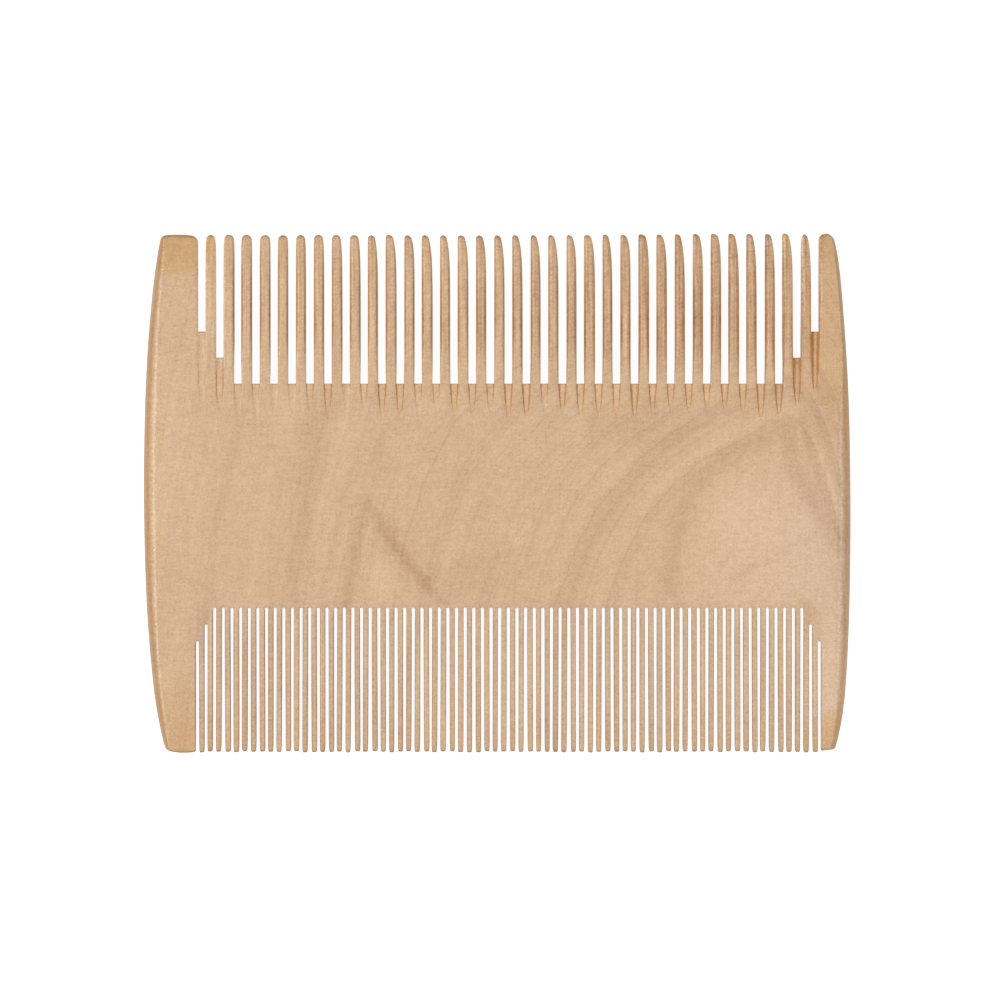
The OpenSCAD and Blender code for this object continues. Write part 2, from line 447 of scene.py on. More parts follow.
def fine_webs():
    mesh = Mesh()
    half_gap = FINE.gap / 2
    for i in FINE.short_slots():
        x = FINE.slot_x(i)
        foot = FINE.foot(i)
        rows = []
        stations = ((FINE.root, 0, 0), (foot - 0.6, 0, 0), (foot - RIM, 1, 0), (foot, 1, RIM_DROP))
        for y, follow, drop in stations:
            row = [(x - half_gap, -y, HALF_T)]
            for turn in FOOT_TURNS:
                along = math.cos(turn)
                lift = FOOT_RADIUS * along * follow
                row.append((x + FOOT_RADIUS * math.sin(turn), lift - y, HALF_T - drop * along))
            row.append((x + half_gap, -y, HALF_T))
            rows.append(row)
        mesh.slab(rows)
    return mesh.build("comb_fine_webs")


# ---------------------------------------------------------------------------------------------
# Teeth


def banded(left, right, half, left_edge, right_edge):
    """A tooth's columns: its left wall, an eased edge, the face, an eased edge, its right wall."""
    span = (right - left) / 2
    reach = max(left_edge[-1][0], right_edge[-1][0], 1e-6)
    fit = min(1.0, span * 0.85 / reach)
    out = [(left + inset * fit, half - down) for inset, down in left_edge]
    inner_left = out[-1][0]
    ends = [(right - inset * fit, half - down) for inset, down in right_edge][::-1]
    inner_right = ends[0][0]
    out += [(mix(inner_left, inner_right, k), half) for k in (0.1, 0.5, 0.9)]
    return out + ends


# Radius of the left-hand corner of a coarse tip, from the first tooth to the last
LEFT_CORNERS = ((4, 0.58), (10, 0.42), (20, 0.38), (24, 0.22))
# How far the coarse tips lie inside the comb's width, from the first tooth to the last
TIP_DIPS = ((0, 0.13), (14, 0.18), (20, 0.17), (27, 0.0))
TIP_DIP_SPREAD = 0.09
# The first tips are evenly rounded, and over the next few teeth they turn one-sided: their right
# side is shaven by SHAVE, which fades over SHAVE_LENGTH
EVEN_TEETH = 4
TURNING_TEETH = 7
SHAVE = 0.62
SHAVE_SPREAD = (0.9, 1.15)
SHAVE_LENGTH = 1.55
SHAVE_LENGTH_SPREAD = (0.8, 1.35)
LAST_TOOTH_SHAVE = 0.35
LAST_SHAVE_LENGTH = 0.5
# Radius of the right-hand corner of an even tip and of a shaven one
RIGHT_CORNERS = (0.6, 0.45)
# How far both shoulders of an even tip draw in, on the first tooth and from the third one on
SHOULDERS = (0.22, 0.1)
SHOULDER_LENGTH = 0.8
# How far a tooth's sides stray towards its tip
LEFT_WANDER = (-0.06, 0.055)
RIGHT_WANDER = (-0.055, 0.06)
# How much wider buffing makes an eased edge, on the first tooth and on the last
BUFFING = (0.35, 0.95)


def coarse_edge(i, y):
    """The eased edge of coarse slot i's wall at y, which is the flank of its groove.

    Buffing spreads it towards the tips, most on the right.
    """
    buffed = smooth((y - COARSE.foot(i) - 0.3) / 6)
    spread = 1 + buffed * mix(*BUFFING, i / COARSE.count)
    deeper = mix(1, spread, 0.4)
    flank = groove_lines(i, y)[3:]
    return [((u - COARSE.gap / 2) * spread, depth * deeper) for u, depth in flank]


def coarse_tooth(i):
    turned = clamp((i - EVEN_TEETH) / TURNING_TEETH)
    shave = SHAVE * turned * random.uniform(*SHAVE_SPREAD)
    shave_length = SHAVE_LENGTH * random.uniform(*SHAVE_LENGTH_SPREAD)
    left_r = between(LEFT_CORNERS, i)
    right_r = mix(*RIGHT_CORNERS, turned)
    shoulder = mix(*SHOULDERS, clamp(i / 2)) * (1 - turned)
    last_shave = LAST_TOOTH_SHAVE if i == COARSE.count - 1 else 0.0
    tip = HALF_W - between(TIP_DIPS, i) - random.uniform(0.0, TIP_DIP_SPREAD)
    x = COARSE.tooth_x(i)
    left_wander = random.uniform(*LEFT_WANDER)
    right_wander = random.uniform(*RIGHT_WANDER)
    free = max(COARSE.foot(i), COARSE.foot(i + 1))
    rows = []
    for s in tip_distances(0.7, tip - COARSE.root):
        y = tip - s
        away = smooth((y - free) / 2.5)
        left = x - COARSE.tooth / 2 + left_wander * away
        right = x + COARSE.tooth / 2 + right_wander * away
        drawn = shoulder * math.exp(-s / SHOULDER_LENGTH)
        left += corner_inset(s, left_r) + drawn + last_shave * math.exp(-s / LAST_SHAVE_LENGTH)
        right -= corner_inset(s, right_r) + drawn + shave * math.exp(-s / shave_length)
        half = half_height(s, COARSE_TAPER)
        fit = clamp(half / HALF_T)
        left_flank = [(inset, depth * fit) for inset, depth in coarse_edge(i, y)]
        right_flank = [(inset, depth * fit) for inset, depth in coarse_edge(i + 1, y)]
        columns = banded(left, right, half, left_flank, right_flank)
        rows.append([(cx, y, h) for cx, h in columns])
    mesh = Mesh()
    mesh.slab(rows)
    return mesh.build(f"comb_coarse_tooth_{i + 1}")


# Section of a fine tooth's sawn edge
FINE_EDGE = ((0.0, 0.13), (0.025, 0.05), (0.08, 0.0))


def fine_edge(y, foot):
    """The eased edge of a fine slot's wall at y. There is none where a web fills the slot."""
    open_share = clamp((y - foot) / 0.1, 0.001, 1.0)
    return [(inset, down * open_share) for inset, down in FINE_EDGE]


# How far the fine tips lie inside the comb's width, and how their corners and sides vary
FINE_TIP_DIPS = (0.05, 0.24)
FINE_TIP_CORNER = 0.14
FINE_CORNER_SPREAD = (0.7, 1.5)
FINE_BEND = 0.085
FINE_WIDER = 0.02
# How far each side draws in at a tip, and over what length
FINE_DRAW = 0.04
FINE_DRAW_LENGTH = 1.3


def fine_tooth(mesh, i):
    tip = HALF_W - random.uniform(*FINE_TIP_DIPS)
    bend = random.uniform(-FINE_BEND, FINE_BEND)
    wider = random.uniform(-FINE_WIDER, FINE_WIDER)
    corner_left = FINE_TIP_CORNER * random.uniform(*FINE_CORNER_SPREAD)
    corner_right = FINE_TIP_CORNER * random.uniform(*FINE_CORNER_SPREAD)
    free = max(FINE.foot(i), FINE.foot(i + 1))
    x = FINE.tooth_x(i)
    rows = []
    webs = [tip - FINE.foot(slot) - ease for slot in (i, i + 1) for ease in (0.0, 0.1)]
    for s in tip_distances(0.42, tip - FINE.root, last=6, growth=1.7, extra=set(webs)):
        y = tip - s
        away = clamp((y - free) / (tip - free))
        draw = FINE_DRAW * clamp(1 - s / FINE_DRAW_LENGTH) ** 1.5
        half_width = FINE.tooth / 2 + wider * smooth(away * 4) - draw
        middle = x + bend * away ** 1.6
        left = middle - half_width + corner_inset(s, corner_left)
        right = middle + half_width - corner_inset(s, corner_right)
        half = half_height(s, FINE_TAPER)
        edges = [fine_edge(y, FINE.foot(slot)) for slot in (i, i + 1)]
        rows.append([(cx, -y, h) for cx, h in banded(left, right, half, *edges)])
    mesh.slab(rows)


def fine_teeth():
    mesh = Mesh()
    for i in range(FINE.count):
        fine_tooth(mesh, i)
    return mesh.build("comb_fine_teeth")


# ---------------------------------------------------------------------------------------------
# Guards


# The shape of a guard's end fades out over this length
END_FADE = 2.0


def guard(name, row, side, tip, taper, inner_r, outer_inset, end_drop, round_s):
    """A corner of the comb beyond an end slot.

    outer_inset gives how far the outer side draws in, a distance s back from the tip, and
    end_drop how far the end stops short of the tip at an x. inner_r is the radius of the corner
    beside the slot, and round_s the distance over which rows lie close together at the tip.
    """
    inner = row.start if side < 0 else row.end
    rows = []
    webs = [tip - row.foot(0) - ease for ease in (0.0, 0.1)]
    for s in tip_distances(round_s, tip - row.root, last=9, extra=webs):
        y = tip - s
        half = half_height(s, taper)
        end_slot = 0 if side < 0 else row.count
        edge = coarse_edge(end_slot, y) if row is COARSE else fine_edge(y, row.foot(end_slot))
        fit = clamp(half / HALF_T)
        inner_line = inner + side * corner_inset(s, inner_r)
        inner_edge = [(inner_line + side * u, half - down * fit) for u, down in edge]
        nose = nose_columns(side, row.side * y, half)
        outer = [(x - side * outer_inset(s), h) for x, h in nose][::-1]
        a = inner_edge[-1][0]
        b = outer[0][0]
        flat = [(mix(a, b, k), half) for k in (0.02, 0.1, 0.35, 0.65, 0.9, 0.97)]
        columns = inner_edge + flat + outer
        if side < 0:
            columns.reverse()
        fade = clamp(1 - s / END_FADE) ** 2
        rows.append([(x, row.side * (y - end_drop(x) * fade), h) for x, h in columns])
    mesh = Mesh()
    mesh.slab(rows)
    return mesh.build(name)


def round_corner(r):
    """The outer side's inset where its corner has radius r."""
    return lambda s: corner_inset(s, r)


def end_curve(x_flat, bow):
    """The bow of a guard's end, which is flat at x_flat."""
    return lambda x: bow * (x - x_flat) ** 2


def end_slope(slope):
    """An end that falls away evenly from the last fine slot."""
    return lambda x: slope * max(0.0, x - FINE.end)


def guards():
    left, right = -1, 1
    return {
        "coarse_guard_left": guard(
            "comb_coarse_guard_left", COARSE, left, tip=HALF_W - 0.15, taper=GUARD_TAPER,
            inner_r=0.95, outer_inset=round_corner(0.6), end_drop=end_curve(-43.0, 0.03), round_s=0.7,
        ),
        "coarse_guard_right": guard(
            "comb_coarse_guard_right", COARSE, right, tip=HALF_W - 0.01, taper=GUARD_TAPER,
            inner_r=0.75, outer_inset=round_corner(0.9), end_drop=end_curve(44.3, 0.15), round_s=0.8,
        ),
        "fine_guard_left": guard(
            "comb_fine_guard_left", FINE, left, tip=HALF_W - 0.01, taper=FINE_TAPER,
            inner_r=0.12, outer_inset=round_corner(0.5), end_drop=end_curve(-42.1, 0.06), round_s=0.6,
        ),
        "fine_guard_right": guard(
            "comb_fine_guard_right", FINE, right, tip=HALF_W - 0.28, taper=FINE_TAPER,
            inner_r=0.12, outer_inset=round_corner(0.3), end_drop=end_slope(0.11), round_s=0.5,
        ),
    }


# ---------------------------------------------------------------------------------------------
# Wood


def srgb(r, g, b):
    """Linear colour of an sRGB colour given from 0 to 255."""
    return tuple(((v / 255 + 0.055) / 1.055) ** 2.4 for v in (r, g, b)) + (1.0,)


class Graph:
    """Adds shader nodes to a tree. A value may be a socket or a constant."""

    def __init__(self, tree):
        self.tree = tree
        tree.nodes.clear()

    def node(self, kind, **settings):
        made = self.tree.nodes.new(kind)
        for key, value in settings.items():
            setattr(made, key, value)
        return made

    def feed(self, socket, value):
        if isinstance(value, bpy.types.NodeSocket):
            self.tree.links.new(value, socket)
        else:
            socket.default_value = value

    def math(self, operation, a, b=0.0):
        made = self.node("ShaderNodeMath", operation=operation)
        self.feed(made.inputs[0], a)
        self.feed(made.inputs[1], b)
        return made.outputs[0]

    def add(self, *values):
        total = values[0]
        for value in values[1:]:
            total = self.math("ADD", total, value)
        return total

    def times(self, a, b):
        return self.math("MULTIPLY", a, b)

    def minus(self, a, b):
        return self.math("SUBTRACT", a, b)

    def ramp(self, value, low, high, out_low=0.0, out_high=1.0):
        """Smooth step of a value from low to high."""
        made = self.node("ShaderNodeMapRange", interpolation_type="SMOOTHSTEP")
        for socket, number in zip(made.inputs, (value, low, high, out_low, out_high)):
            self.feed(socket, number)
        return made.outputs[0]

    def join(self, x, y, z):
        made = self.node("ShaderNodeCombineXYZ")
        for socket, value in zip(made.inputs, (x, y, z)):
            self.feed(socket, value)
        return made.outputs[0]

    def split(self, vector):
        made = self.node("ShaderNodeSeparateXYZ")
        self.feed(made.inputs[0], vector)
        return made.outputs

    def noise(self, vector, scale=1.0, detail=2.0, roughness=0.5):
        """Noise about 0, roughly from -1 to 1."""
        made = self.node("ShaderNodeTexNoise", noise_dimensions="3D")
        self.feed(made.inputs["Vector"], vector)
        made.inputs["Scale"].default_value = scale
        made.inputs["Detail"].default_value = detail
        made.inputs["Roughness"].default_value = roughness
        return self.centred(made.outputs[0])

    def noise_1d(self, value, detail=2.0):
        made = self.node("ShaderNodeTexNoise", noise_dimensions="1D")
        self.feed(made.inputs["W"], value)
        made.inputs["Scale"].default_value = 1.0
        made.inputs["Detail"].default_value = detail
        return self.centred(made.outputs[0])

    def centred(self, value):
        return self.times(self.minus(value, 0.5), 2.0)

    def blend(self, factor, a, b, kind="MIX"):
        """Mixes two colours, or applies b to a in another way."""
        made = self.node("ShaderNodeMix", data_type="RGBA", blend_type=kind)
        made.clamp_factor = False
        self.feed(made.inputs[0], factor)
        self.feed(made.inputs[6], a)
        self.feed(made.inputs[7], b)
        return made.outputs[2]

    def tint(self, colour, share, by):
        """Multiplies a colour by another, to the given share."""
        return self.blend(share, colour, self.blend(1.0, colour, by, "MULTIPLY"))

    def to_patch(self, x, y, centre, size):
        """Distance of (x, y) from an oval's centre, 1 on the oval itself."""
        dx = self.times(self.minus(x, centre[0]), 1 / size[0])
        dy = self.times(self.minus(y, centre[1]), 1 / size[1])
        return self.math("SQRT", self.add(self.times(dx, dx), self.times(dy, dy)))

    def to_segment(self, x, y, a, b):
        """Distance of (x, y) from the straight stretch between points a and b."""
        along = (b[0] - a[0], b[1] - a[1])
        square = along[0] ** 2 + along[1] ** 2
        rx = self.minus(x, a[0])
        ry = self.minus(y, a[1])
        run = self.add(self.times(rx, along[0] / square), self.times(ry, along[1] / square))
        run = self.math("MINIMUM", self.math("MAXIMUM", run, 0.0), 1.0)
        ex = self.minus(rx, self.times(run, along[0]))
        ey = self.minus(ry, self.times(run, along[1]))
        return self.math("SQRT", self.add(self.times(ex, ex), self.times(ey, ey)))


# The growth rings show as circles that drift as they grow: where the smallest one centres, and
# how far a centre moves for each millimetre of radius. Right of RING_FOLD they turn back and run
# RING_STEEPER times as steeply. They stand up straighter towards the left, along RING_UPRIGHT_X,
# where RING_UPRIGHT is the share of their lean that is left. RING_TILT is how far they shift for
# each millimetre of depth.
RING_START = (38.4, -6.1)
RING_DRIFT = (0.257, -0.49)
RING_FOLD = 39.8
RING_STEEPER = 3.6
RING_UPRIGHT = 0.3
RING_UPRIGHT_X = (-26.0, 16.0)
RING_TILT = 0.8
# Between these radii the figure fades inwards
RING_CORE = (27.0, 33.0)
# Dark growth lines: spacing and strength of the bold ones and of the faint ones between them
BOLD_LINES = (5.6, 0.36)
FAINT_LINES = (2.3, 0.15)
# The bold ones are weaker on the left of this stretch, down to this share
BOLD_X = (-25.0, 22.0)
BOLD_LEAST = 0.4
# Broad rings: radius, width, and how much darker they are
BROAD_RINGS = (
    (33.0, 1.6, 0.1),
    (36.0, 1.7, -0.13),
    (42.3, 2.4, 0.16),
    (47.0, 2.0, -0.06),
    (65.0, 4.0, -0.08),
    (77.0, 3.0, 0.1),
)
# Pale and dark patches: centre, half widths, and how much lighter they are
PATCHES = (
    ((19.0, 9.5), (8.0, 3.6), -0.22),
    ((43.8, 11.0), (4.0, 5.5), -0.22),
    ((-1.6, -11.0), (6.5, 5.0), -0.16),
    ((-44.0, 4.5), (5.0, 13.0), 0.14),
    ((-15.4, -11.7), (2.4, 4.0), 0.2),
    ((36.5, -7.0), (13.0, 13.0), 0.2),
    ((33.0, -2.5), (5.0, 5.0), 0.12),
    ((45.0, -26.0), (4.5, 11.0), 0.32),
)
# Two legs of a mark like an upturned V
LEFT_LEG = ((-20.3, -15.0), (-19.2, -7.6))
RIGHT_LEG = ((-17.6, -1.1), (-14.9, -5.2), (-12.4, -9.0), (-10.2, -11.3), (-8.0, -14.2))
# Darker streaks: the points they run through, how wide they are and how much darker
STREAKS = (
    ((*LEFT_LEG, *RIGHT_LEG), 0.85, 0.31),
    (RIGHT_LEG[1:4], 1.9, 0.16),
    (((-27.1, -15.5), (-25.7, -2.0), (-24.4, 10.5)), 1.5, 0.17),
    (((-16.9, 2.2), (-15.4, 8.2)), 1.1, 0.12),
    (((23.2, -13.0), (23.9, -5.6), (25.9, -0.3), (29.9, 4.4), (36.4, 7.3)), 1.3, 0.27),
    (((38.9, 8.6), (40.2, 3.1), (42.7, -1.6), (45.9, -7.2)), 1.2, 0.3),
    (((40.9, 10.0), (43.4, 1.1), (46.3, -5.8)), 0.6, 0.27),
    (((31.5, -11.5), (37.0, -8.6), (43.2, -5.2)), 0.5, 0.14),
    (((29.6, -10.5), (33.0, -4.6), (38.0, -0.6)), 0.6, 0.1),
)
# Where the finish is warmer and yellower: centre, half widths and strength
WARM_PATCHES = (
    ((-43.0, 34.5), (5.5, 5.2), 1.25),
    ((45.0, 24.0), (4.0, 13.0), 0.7),
    ((-43.0, -33.0), (6.0, 8.0), 0.5),
    ((45.5, -35.5), (5.5, 6.6), 1.0),
    ((46.6, -36.4), (4.6, 6.6), 0.4),
    ((41.2, -16.2), (1.7, 2.3), 0.6),
)


# Grain that is drawn out along the comb's axes: how often it repeats along X, Y and Z
FIBRES = (2.6, 0.16, 2.6)
RAYS = (0.5, 3.2, 0.5)
PORES = (5.0, 0.9, 5.0)
TOOTH_TONES = (0.9, 0.06, 0.2)
TOOTH_STRIPES = (3.0, 0.1, 1.0)
FACETS = (0.9, 1.7, 0.9)
# How much each texture adds to the wood's value, to its relief and to its roughness
VALUE_OF = {"mottle": 0.16, "fibres": 0.14, "rays": 0.26, "pores": -0.09, "speckle": 0.64, "grain": 0.38}
RELIEF_OF = {"fibres": 0.7, "speckle": 0.9, "rays": 1.0, "grain": 0.6}
ROUGHNESS_OF = {"fibres": 0.05, "speckle": 0.06}
ROUGHNESS = 0.29
TILTED_ROUGHNESS = 0.05
WOOD_IOR = 1.45
RELIEF_DEPTH = 0.017 * MM

# The wood where it is darkest and palest, and the same low on the right, where it is pinker
DARK_WOOD = srgb(187, 149, 113)
PALE_WOOD = srgb(218, 185, 147)
DARK_PINK_WOOD = srgb(184, 150, 121)
PALE_PINK_WOOD = srgb(222, 189, 160)
PINK_SHARE = 0.65
# What the colour is multiplied by: on each row of teeth, in the warm patches, as painted shade on
# the rounded edges of the left and the right, and as painted light on the floors and painted
# shade on the flanks of the grooves
COARSE_TINT = (0.95, 0.87, 0.80, 1.0)
COARSE_TINT_SHARE = 0.65
FINE_TINT = (0.945, 0.97, 1.01, 1.0)
WARM_TINT = (0.965, 0.91, 0.775, 1.0)
LEFT_EDGE_PAINTED_SHADE = (0.83, 0.70, 0.55, 1.0)
RIGHT_EDGE_PAINTED_SHADE = (0.96, 0.82, 0.65, 1.0)
GROOVE_FLOOR_PAINTED_LIGHT = (1.09, 1.055, 0.98, 1.0)
GROOVE_FLANK_PAINTED_SHADE = (0.92, 0.86, 0.77, 1.0)
# Stretches along X or Y over which something sets in, from its least to its most
COARSE_TEETH_Y = (13.0, 22.0)
FINE_TEETH_Y = (-14.0, -16.0)
GROOVES_LOW_Y = (7.0, 8.0)
GROOVES_HIGH_Y = (24.2, 23.6)
STRIPES_X = (-35.0, 30.0)
REDDER_X = (-15.0, 35.0)
PINKER_X = (12.0, 44.0)
PINKER_Y = (12.0, -4.0)
EDGE_SHADE_X = (-20.0, 30.0)
GROOVE_SHADING_X = (-35.0, 30.0)
# The least of it that the teeth's stripes and the grooves' painted light and shade show
STRIPES_LEAST = 0.45
GROOVE_SHADING_LEAST = 0.3


class Fields:
    """Textures and masks that the wood's colour and relief share, for a point in millimetres."""

    def __init__(self, g):
        self.g = g
        coordinates = g.node("ShaderNodeTexCoord")
        scaled = g.node("ShaderNodeVectorMath", operation="SCALE")
        g.feed(scaled.inputs[0], coordinates.outputs["Object"])
        scaled.inputs["Scale"].default_value = 1 / MM
        self.point = scaled.outputs[0]
        self.x, self.y, self.z = g.split(self.point)
        self.fibres = self.drawn_out(FIBRES, 3.0, 0.6)
        self.rays = self.drawn_out(RAYS)
        self.pores = g.ramp(self.drawn_out(PORES), 0.22, 0.6)
        self.speckle = g.noise(self.point, 3.4, 2.0, 0.8)
        self.grain = g.noise(self.point, 1.5, 2.0, 0.75)
        self.mottle = g.noise(self.point, 0.22, 2.0)
        # 1 on the flat faces, down to 0 on walls
        self.level = g.math("ABSOLUTE", g.split(coordinates.outputs["Normal"])[2])
        # How tilted a face is. It sets the painted shade on the rounded edges, and their roughness.
        steep = g.ramp(self.level, 0.64, 0.86, 1.0, 0.0)
        self.tilt = g.times(steep, g.ramp(self.level, 0.35, 0.62, 0.55, 1.0))
        left_of_end = g.ramp(self.x, FINE.end, FINE.end + 0.5, 1.0, 0.0)
        self.toothed = g.times(g.ramp(self.x, FINE.start - 0.5, FINE.start), left_of_end)
        self.coarse_teeth = g.times(g.ramp(self.y, *COARSE_TEETH_Y), self.toothed)
        self.fine_teeth = g.times(g.ramp(self.y, *FINE_TEETH_Y), self.toothed)

    def drawn_out(self, often, detail=2.0, roughness=0.5):
        axes = (self.x, self.y, self.z)
        point = [self.g.times(axis, rate) for axis, rate in zip(axes, often)]
        return self.g.noise(self.g.join(*point), 1.0, detail, roughness)

    def weighted(self, weights):
        return [self.g.times(getattr(self, name), weight) for name, weight in weights.items()]


def ring_radius(f):
    """Radius of the growth ring that passes through a point, with the wood's own wander."""
    g = f.g
    past = g.minus(f.x, RING_FOLD)
    past = g.times(g.add(past, g.math("SQRT", g.add(g.times(past, past), 0.5))), 0.5)
    across = g.minus(f.x, g.times(past, 1 + RING_STEEPER))
    depth = g.times(g.minus(f.z, 2 * HALF_T), RING_TILT)
    qx = g.add(g.minus(across, RING_START[0]), depth)
    qy = g.minus(g.times(f.y, g.ramp(f.x, *RING_UPRIGHT_X, RING_UPRIGHT, 1.0)), RING_START[1])
    along = g.add(g.times(qx, RING_DRIFT[0]), g.times(qy, RING_DRIFT[1]))
    square = g.add(g.times(qx, qx), g.times(qy, qy))
    rest = 1 - RING_DRIFT[0] ** 2 - RING_DRIFT[1] ** 2
    root = g.math("SQRT", g.add(g.times(along, along), g.times(square, rest)))
    radius = g.times(g.minus(root, along), 1 / rest)
    broad_wander = g.times(g.noise(f.point, 0.05, 2.0), 3.0)
    return g.add(radius, broad_wander, g.times(g.noise(f.point, 0.4, 3.0), 0.7))


def growth_lines(g, radius, spacing, shift, thin):
    """Thin dark lines at uneven spacing, each with a strength of its own, from 0 to 1."""
    wander = g.times(g.noise_1d(g.add(g.times(radius, 0.35 / spacing), shift)), 1.2)
    turn = g.add(g.times(radius, 1 / spacing), wander)
    part = g.math("FRACT", turn)
    strength = g.ramp(g.noise_1d(g.add(g.math("FLOOR", turn), shift)), -0.4, 0.4, 0.25, 1.0)
    line = g.times(g.ramp(part, 0.9 - 2 * thin, 0.9), g.ramp(part, 0.9, 0.9 + thin * 0.8, 1.0, 0.0))
    return g.times(line, strength)


def growth_figure(f):
    """The growth rings, as a change in the wood's value."""
    g = f.g
    radius = ring_radius(f)
    soft = g.add(g.noise_1d(g.times(radius, 0.13)), g.times(g.noise_1d(g.times(radius, 0.4)), 0.7))
    bold = g.times(growth_lines(g, radius, BOLD_LINES[0], 0.0, 0.06), BOLD_LINES[1])
    bold = g.times(bold, g.ramp(f.x, *BOLD_X, BOLD_LEAST, 1.0))
    faint = g.times(growth_lines(g, radius, FAINT_LINES[0], 7.0, 0.14), FAINT_LINES[1])
    figure = g.add(g.times(soft, 0.13), g.times(bold, -1.0), g.times(faint, -1.0))
    for middle, width, darker in BROAD_RINGS:
        away = g.math("ABSOLUTE", g.minus(radius, middle))
        figure = g.add(figure, g.ramp(away, width * 0.1, width, -darker, 0.0))
    return g.times(figure, g.ramp(radius, *RING_CORE, 0.15, 1.0))


def with_patches(f, value):
    g = f.g
    for centre, size, lighter in PATCHES:
        away = g.add(g.to_patch(f.x, f.y, centre, size), g.times(f.mottle, 0.3))
        value = g.add(value, g.ramp(away, 0.2, 1.3, lighter, 0.0))
    return value


def with_streaks(f, value):
    g = f.g
    for points, width, darker in STREAKS:
        away = g.to_segment(f.x, f.y, points[0], points[1])
        for a, b in zip(points[1:], points[2:]):
            away = g.math("MINIMUM", away, g.to_segment(f.x, f.y, a, b))
        away = g.add(away, g.times(g.add(f.grain, f.fibres), 0.35))
        value = g.add(value, g.ramp(away, 0.0, width * 1.7, -darker, 0.0))
    return value


def with_tooth_tones(f, value):
    """Coarse teeth have tones and stripes along them, most on the right, and fine teeth tones."""
    g = f.g
    tones = f.drawn_out(TOOTH_TONES)
    stripes = f.drawn_out(TOOTH_STRIPES)
    streaky = g.add(g.times(tones, 0.7), g.times(stripes, 1.2), -0.16)
    rightwards = g.ramp(f.x, *STRIPES_X, STRIPES_LEAST, 1.0)
    value = g.add(value, g.times(g.times(streaky, f.coarse_teeth), rightwards))
    return g.add(value, g.times(g.times(tones, f.fine_teeth), 0.5), g.times(f.fine_teeth, -0.04))


def wood_value(f):
    """How pale the wood is, mostly from 0 to 1."""
    value = f.g.add(0.5, growth_figure(f), *f.weighted(VALUE_OF))
    return with_tooth_tones(f, with_streaks(f, with_patches(f, value)))


def base_colour(f):
    """The wood's colour before its edges and grooves are tinted."""
    g = f.g
    value = wood_value(f)
    colour = g.blend(value, DARK_WOOD, PALE_WOOD)
    reddened = g.times(g.times(f.coarse_teeth, g.ramp(f.x, *REDDER_X)), COARSE_TINT_SHARE)
    colour = g.tint(colour, reddened, COARSE_TINT)
    colour = g.tint(colour, f.fine_teeth, FINE_TINT)
    pink = g.times(g.ramp(f.x, *PINKER_X), g.ramp(f.y, *PINKER_Y))
    pink = g.times(pink, g.minus(1.0, g.times(f.fine_teeth, 0.7)))
    pinker = g.blend(value, DARK_PINK_WOOD, PALE_PINK_WOOD)
    colour = g.blend(g.times(pink, PINK_SHARE), colour, pinker)
    for centre, size, strength in WARM_PATCHES:
        away = g.add(g.to_patch(f.x, f.y, centre, size), g.times(f.grain, 0.06))
        colour = g.tint(colour, g.ramp(away, 0.85, 1.05, strength, 0.0), WARM_TINT)
    return colour


def edges_with_painted_shade(f, colour):
    """Painted shade on the rounded edges: darker and more orange, most on the left."""
    by = f.g.blend(f.g.ramp(f.x, *EDGE_SHADE_X), LEFT_EDGE_PAINTED_SHADE, RIGHT_EDGE_PAINTED_SHADE)
    return f.g.tint(colour, f.tilt, by)


def grooves_with_painted_light_and_shade(f, colour):
    """Painted light and shade in the grooves: paler floors and darker flanks, most on the right."""
    g = f.g
    below = g.minus(HALF_T, g.math("ABSOLUTE", g.minus(f.z, HALF_T)))
    along = g.times(g.ramp(f.y, *GROOVES_HIGH_Y), g.ramp(f.y, *GROOVES_LOW_Y))
    grooved = g.times(along, f.toothed)
    shown = g.ramp(f.x, *GROOVE_SHADING_X, GROOVE_SHADING_LEAST, 1.0)
    on_floor = g.times(g.times(g.ramp(below, 0.03, 0.12), g.ramp(f.level, 0.9, 0.98)), grooved)
    colour = g.tint(colour, g.times(on_floor, shown), GROOVE_FLOOR_PAINTED_LIGHT)
    on_flank = g.times(g.times(g.ramp(below, 0.0, 0.03), g.ramp(f.level, 0.985, 0.9)), grooved)
    return g.tint(colour, g.times(on_flank, shown), GROOVE_FLANK_PAINTED_SHADE)


def wood_relief(f):
    """Fine relief of the grain, and on the rounded edges the facets that sanding leaves."""
    g = f.g
    facets = g.add(g.times(f.drawn_out(FACETS), 2.6), g.times(f.rays, 1.6))
    facets = g.times(facets, g.ramp(f.level, 0.985, 0.94))
    bump = g.node("ShaderNodeBump")
    bump.inputs["Strength"].default_value = 1.0
    bump.inputs["Distance"].default_value = RELIEF_DEPTH
    g.feed(bump.inputs["Height"], g.add(*f.weighted(RELIEF_OF), facets))
    return bump.outputs[0]


def wood():
    """Pale, close-grained wood with a cathedral figure, rubbed smooth and lightly oiled."""
    material = bpy.data.materials.new("comb_wood")
    material.use_nodes = True
    g = Graph(material.node_tree)
    f = Fields(g)
    shader = g.node("ShaderNodeBsdfPrincipled")
    # The colour carries painted shade on the rounded edges and painted light and shade in the grooves
    g.feed(shader.inputs["Base Color"], grooves_with_painted_light_and_shade(f, edges_with_painted_shade(f, base_colour(f))))
    roughness = g.add(ROUGHNESS, *f.weighted(ROUGHNESS_OF), g.times(f.tilt, TILTED_ROUGHNESS))
    g.feed(shader.inputs["Roughness"], roughness)
    shader.inputs["IOR"].default_value = WOOD_IOR
    g.feed(shader.inputs["Normal"], wood_relief(f))
    out = g.node("ShaderNodeOutputMaterial")
    g.feed(out.inputs["Surface"], shader.outputs[0])
    return material


# ---------------------------------------------------------------------------------------------
# Stage, light and camera

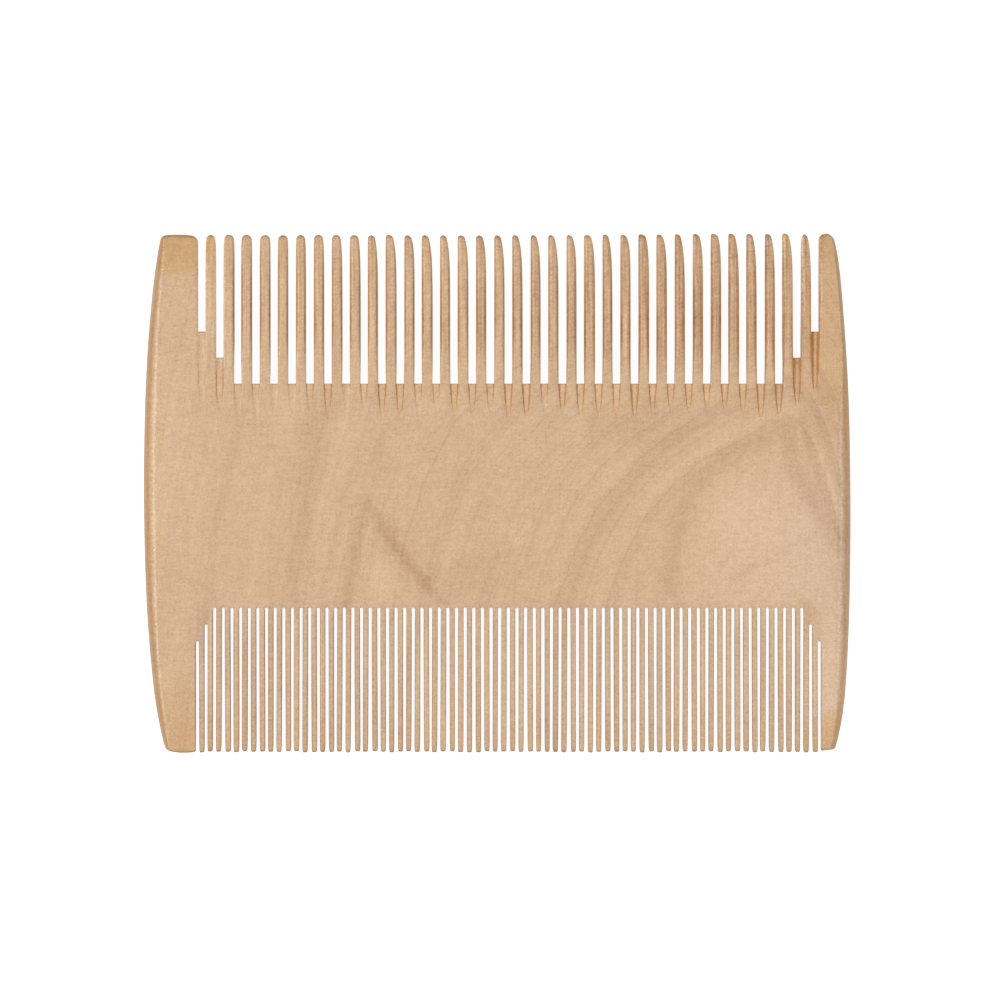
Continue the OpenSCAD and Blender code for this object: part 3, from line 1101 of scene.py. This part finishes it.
# The floor lies FLOOR_GAP below the comb. It glows more as the camera sees it than as light.
FLOOR_SIZE = 6.0
FLOOR_GAP = 0.3 * MM
FLOOR_GLOW_SEEN = 0.92
FLOOR_GLOW_CAST = 0.3
FLOOR_COLOUR = (0.36, 0.36, 0.36, 1.0)
SKY = 0.393
# Soft boxes: name, angle from straight above, distance, size and power
SOFT_BOXES = (
    ("key_left", -44, 0.9, (0.17, 0.62), 4.8),
    ("fill_right", 48, 0.9, (0.13, 0.62), 2.5),
    ("overhead", 0, 1.2, (0.36, 0.36), 1.2),
)


def floor_material():
    """A pale floor that glows like a light table, so that it looks white through the slots."""
    material = bpy.data.materials.new("stage_floor")
    material.use_nodes = True
    g = Graph(material.node_tree)
    ray = g.node("ShaderNodeLightPath")
    back = g.node("ShaderNodeNewGeometry")
    glow = g.node("ShaderNodeEmission")
    seen = g.times(ray.outputs["Is Camera Ray"], FLOOR_GLOW_SEEN - FLOOR_GLOW_CAST)
    g.feed(glow.inputs["Strength"], g.add(seen, FLOOR_GLOW_CAST))
    matt = g.node("ShaderNodeBsdfDiffuse")
    matt.inputs["Color"].default_value = FLOOR_COLOUR
    both = g.node("ShaderNodeAddShader")
    g.feed(both.inputs[0], glow.outputs[0])
    g.feed(both.inputs[1], matt.outputs[0])
    clear = g.node("ShaderNodeBsdfTransparent")
    sides = g.node("ShaderNodeMixShader")
    g.feed(sides.inputs[0], back.outputs["Backfacing"])
    g.feed(sides.inputs[1], both.outputs[0])
    g.feed(sides.inputs[2], clear.outputs[0])
    out = g.node("ShaderNodeOutputMaterial")
    g.feed(out.inputs["Surface"], sides.outputs[0])
    return material


def floor():
    r = FLOOR_SIZE / 2
    mesh = bpy.data.meshes.new("stage_floor")
    corners = [(-r, -r, -FLOOR_GAP), (r, -r, -FLOOR_GAP), (r, r, -FLOOR_GAP), (-r, r, -FLOOR_GAP)]
    mesh.from_pydata(corners, [], [(0, 1, 2, 3)])
    mesh.materials.append(floor_material())
    made = bpy.data.objects.new("stage_floor", mesh)
    bpy.context.scene.collection.objects.link(made)


def soft_box(name, angle, distance, size, power):
    """A soft box at an angle from straight above, to the left where the angle is negative."""
    light = bpy.data.lights.new(name, "AREA")
    light.shape = "RECTANGLE"
    light.size, light.size_y = size
    light.energy = power
    made = bpy.data.objects.new(name, light)
    turn = math.radians(angle)
    made.location = Vector((math.sin(turn), 0, math.cos(turn))) * distance
    made.rotation_euler = (0, turn, 0)
    bpy.context.scene.collection.objects.link(made)


def lighting():
    world = bpy.data.worlds.new("studio")
    world.use_nodes = True
    world.node_tree.nodes["Background"].inputs["Color"].default_value = (1, 1, 1, 1)
    world.node_tree.nodes["Background"].inputs["Strength"].default_value = SKY
    bpy.context.scene.world = world
    for box in SOFT_BOXES:
        soft_box(*box)


# The picture takes in this width at the upper face, and its middle lies here on the comb
VIEW_WIDTH = 134.3 * MM
VIEW_CENTRE = (0.38 * MM, -0.92 * MM)
LENS = 1000.0
SENSOR = 36.0


def camera():
    data = bpy.data.cameras.new("camera")
    data.lens = LENS
    data.sensor_width = SENSOR
    made = bpy.data.objects.new("camera", data)
    height = VIEW_WIDTH * LENS / SENSOR + CAD_BOX[1].z
    made.location = (*VIEW_CENTRE, height)
    bpy.context.scene.collection.objects.link(made)
    bpy.context.scene.camera = made


def colours():
    scene = bpy.context.scene
    scene.view_settings.view_transform = "Standard"
    scene.view_settings.look = "None"


camera()
lighting()
colours()
floor()
pieces = {
    "spine": spine(),
    "coarse_slot_webs": coarse_webs(),
    "fine_slot_webs": fine_webs(),
    "fine_teeth": fine_teeth(),
    **guards(),
    **{f"coarse_tooth_{i + 1}": coarse_tooth(i) for i in range(COARSE.count)},
}
comb_wood = wood()
for node, piece in pieces.items():
    piece.data.materials.append(comb_wood)
    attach(piece, BODY)
    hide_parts(node)
